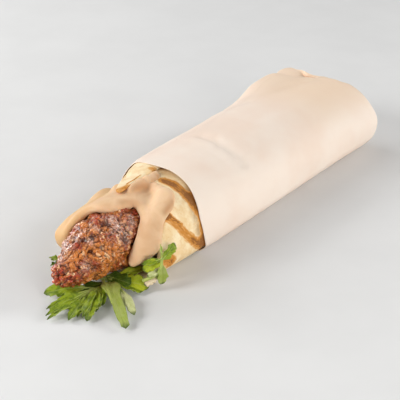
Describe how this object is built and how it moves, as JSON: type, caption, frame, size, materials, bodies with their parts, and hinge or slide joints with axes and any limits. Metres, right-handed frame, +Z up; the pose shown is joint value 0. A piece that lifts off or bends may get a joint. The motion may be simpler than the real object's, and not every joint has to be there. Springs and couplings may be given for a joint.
{
  "type": "kofta sandwich",
  "caption": "Rolled grill-marked flatbread in a plain paper sleeve, with a grilled minced-meat kofta, creamy sauce and parsley at its open end.",
  "frame": {"origin": "on the flat underside of the paper sleeve, on the roll's centre plane, in the middle of the sleeve's length", "axes": "+Y along the roll from its open mouth to its closed end, +Z up from the surface it lies on, +X to the right when looking along +Y"},
  "size_m": [0.0799, 0.2766, 0.0464],
  "materials": {
    "paper": "matte uncoated paper",
    "flatbread": "matte floury bread with grill marks",
    "kofta": "glossy browned minced meat",
    "sauce": "smooth creamy sauce with a soft sheen",
    "parsley": "fresh leaf with a slight sheen"
  },
  "bodies": {
    "root": {"flatbread": "flatbread", "kofta": "kofta", "paper_sleeve": "paper", "parsley_front": "parsley", "parsley_side": "parsley", "sauce": "sauce"}
  },
  "joints": []
}
